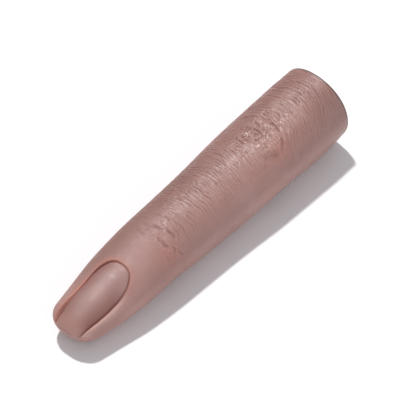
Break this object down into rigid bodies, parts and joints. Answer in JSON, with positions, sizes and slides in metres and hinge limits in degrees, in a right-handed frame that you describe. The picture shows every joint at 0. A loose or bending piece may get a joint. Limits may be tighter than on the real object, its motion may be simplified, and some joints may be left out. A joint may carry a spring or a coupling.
{
  "type": "nail practice finger",
  "caption": "Soft silicone finger with jointed bones inside, a recessed nail bed for fitting practice nail tips, and a rear socket for a stand.",
  "frame": {"origin": "centre of the bounding box's footprint, on the surface that the finger lies on", "axes": "+Y from the fingertip to the rear face, +Z from the palm side to the back of the finger, +X across"},
  "size_m": [0.0174, 0.0776, 0.0162],
  "materials": {
    "silicone_skin": "matte",
    "nail_bed": "satin",
    "nylon": "satin",
    "brass": "turned",
    "steel": "plain",
    "washer_fibre": "matte"
  },
  "bodies": {
    "base": {"base_skin": "silicone_skin", "knuckle_skin": "silicone_skin", "base_bone": "nylon", "socket_bush": "brass", "knuckle_hinge_screw": "steel", "knuckle_hinge_nut": "steel", "knuckle_hinge_washer_left": "washer_fibre", "knuckle_hinge_washer_right": "washer_fibre"},
    "middle": {"middle_skin": "silicone_skin", "tip_joint_skin": "silicone_skin", "middle_bone": "nylon", "tip_hinge_screw": "steel", "tip_hinge_nut": "steel", "tip_hinge_washer_left": "washer_fibre", "tip_hinge_washer_right": "washer_fibre"},
    "tip": {"fingertip_skin": "silicone_skin", "nail_bed": "nail_bed", "tip_bone": "nylon"}
  },
  "joints": [
    {"name": "knuckle_bend", "type": "hinge", "parent": "base", "child": "middle", "pos_m": [0, 0.01795, 0.0078], "axis": [1, 0, 0], "range_deg": [0, 70], "deforming": ["knuckle_skin"]},
    {"name": "tip_bend", "type": "hinge", "parent": "middle", "child": "tip", "pos_m": [0, -0.01255, 0.007], "axis": [1, 0, 0], "range_deg": [0, 50], "deforming": ["tip_joint_skin"]}
  ]
}
